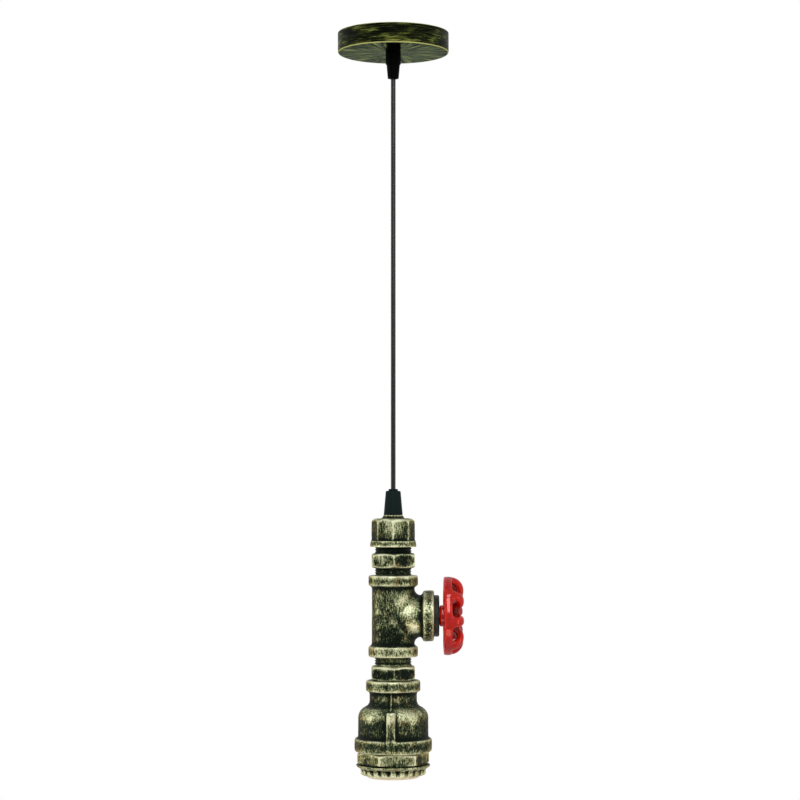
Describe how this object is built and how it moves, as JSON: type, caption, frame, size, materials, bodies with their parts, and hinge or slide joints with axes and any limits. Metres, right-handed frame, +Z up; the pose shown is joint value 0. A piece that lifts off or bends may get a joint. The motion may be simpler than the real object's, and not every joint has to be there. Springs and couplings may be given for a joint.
{
  "type": "pendant light",
  "caption": "Industrial pendant light: cast pipe fittings hang on a cord from a round ceiling cup, with a red valve handwheel on the tee and a screw lampholder at the lower end",
  "frame": {"origin": "centre of the ceiling cup's open rim, in the plane of the ceiling, between the two screw slots", "axes": "+Z up, towards the ceiling and against the hanging cord; +X from the pipe towards the handwheel; the picture's side is -Y"},
  "size_m": [0.113, 0.1, 0.669],
  "materials": {
    "zinc_steel": "satin zinc plate",
    "canopy_paint": "satin dark green-black with brushed gold-green streaks",
    "grip_plastic": "satin black, slightly blue",
    "grip_rubber": "matte black",
    "block_nylon": "natural nylon",
    "contact_brass": "plain brass",
    "cord_sheath": "satin black sheath",
    "live_insulation": "brown insulation",
    "neutral_insulation": "blue insulation",
    "brushed_casting": "rough casting, dark green-black in the hollows and dry-brushed old gold on what stands proud",
    "plug_black": "satin black paint",
    "porcelain": "cream glaze",
    "red_enamel": "gloss red enamel"
  },
  "bodies": {
    "canopy": {"ceiling_bracket": "zinc_steel", "canopy_cup": "canopy_paint", "canopy_grip_body": "grip_plastic", "canopy_grip_cone": "grip_plastic", "canopy_grip_sleeve": "grip_rubber", "canopy_washer": "zinc_steel", "canopy_lock_nut": "zinc_steel", "terminal_block": "block_nylon", "terminal_block_tubes": "contact_brass", "terminal_block_screws": "zinc_steel", "canopy_cord_end": "cord_sheath", "canopy_live_core": "live_insulation", "canopy_neutral_core": "neutral_insulation"},
    "cord_top": {"cord_bend": "cord_sheath"},
    "pendant": {"cord": "cord_sheath", "pipe_grip_collet": "grip_plastic", "pipe_grip_cone": "grip_plastic", "pipe_grip_body": "grip_plastic", "pipe_washer": "zinc_steel", "pipe_lock_nut": "zinc_steel", "cord_in_pipe": "cord_sheath", "live_core": "live_insulation", "neutral_core": "neutral_insulation", "pipe_cap": "brushed_casting", "upper_nipple": "brushed_casting", "tee": "brushed_casting", "lower_nipple": "brushed_casting", "bell_reducer": "brushed_casting", "hex_bushing": "brushed_casting", "fluted_ring": "brushed_casting", "lampholder_body": "porcelain", "lampholder_shell": "contact_brass", "centre_contact": "contact_brass", "live_terminal": "contact_brass", "neutral_terminal": "contact_brass", "terminal_screws": "zinc_steel", "branch_plug": "plug_black"},
    "wheel": {"handwheel": "red_enamel", "handwheel_screw": "zinc_steel", "valve_stem": "zinc_steel", "stem_washer": "zinc_steel", "stem_nut": "zinc_steel"}
  },
  "joints": [
    {"name": "swing_fore_aft", "type": "hinge", "parent": "canopy", "child": "cord_top", "pos_m": [0, 0, -0.041], "axis": [1, 0, 0], "range_deg": [-20, 20]},
    {"name": "swing_sideways", "type": "hinge", "parent": "cord_top", "child": "pendant", "pos_m": [0, 0, -0.041], "axis": [0, 1, 0], "range_deg": [-20, 20]},
    {"name": "handwheel_spin", "type": "hinge", "parent": "pendant", "child": "wheel", "pos_m": [0.045, 0, -0.5248], "axis": [1, 0, 0], "continuous": true}
  ]
}
